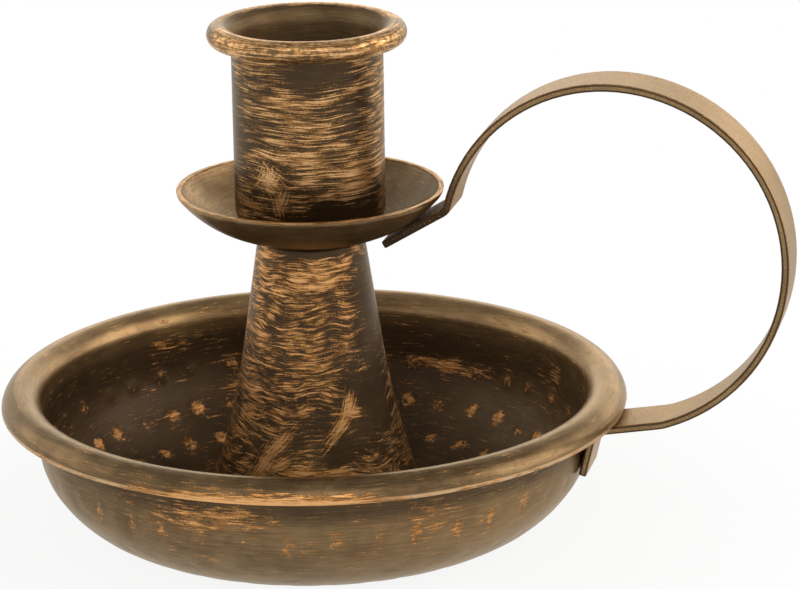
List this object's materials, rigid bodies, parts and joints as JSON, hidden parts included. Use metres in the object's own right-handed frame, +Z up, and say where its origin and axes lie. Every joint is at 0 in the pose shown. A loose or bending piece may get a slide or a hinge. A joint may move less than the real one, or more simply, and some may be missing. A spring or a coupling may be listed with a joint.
{
  "type": "chamber candle holder",
  "caption": "Chamber candle holder with a round pan, a hollow flared stem, a drip tray, a beaded candle cup and a strap loop handle.",
  "frame": {"origin": "on the candle's axis, at the plane of the table that the pan stands on", "axes": "+Z up along the candle's axis, +X towards the handle, -Y towards the front"},
  "size_m": [0.1289, 0.102, 0.0832],
  "materials": {
    "pan_paint": "satin dark brown with dry-brushed copper",
    "stem_paint": "satin dark brown with dry-brushed copper",
    "tray_paint": "satin dark brown",
    "cup_paint": "satin dark brown with dry-brushed copper",
    "handle_paint": "satin brown, lightly worn at the edges",
    "hardware": "zinc plated"
  },
  "bodies": {
    "root": {"pan": "pan_paint", "stem": "stem_paint", "drip_tray": "tray_paint", "candle_cup": "cup_paint", "handle": "handle_paint", "tie_screw": "hardware", "washer": "hardware", "nut": "hardware"}
  },
  "joints": []
}
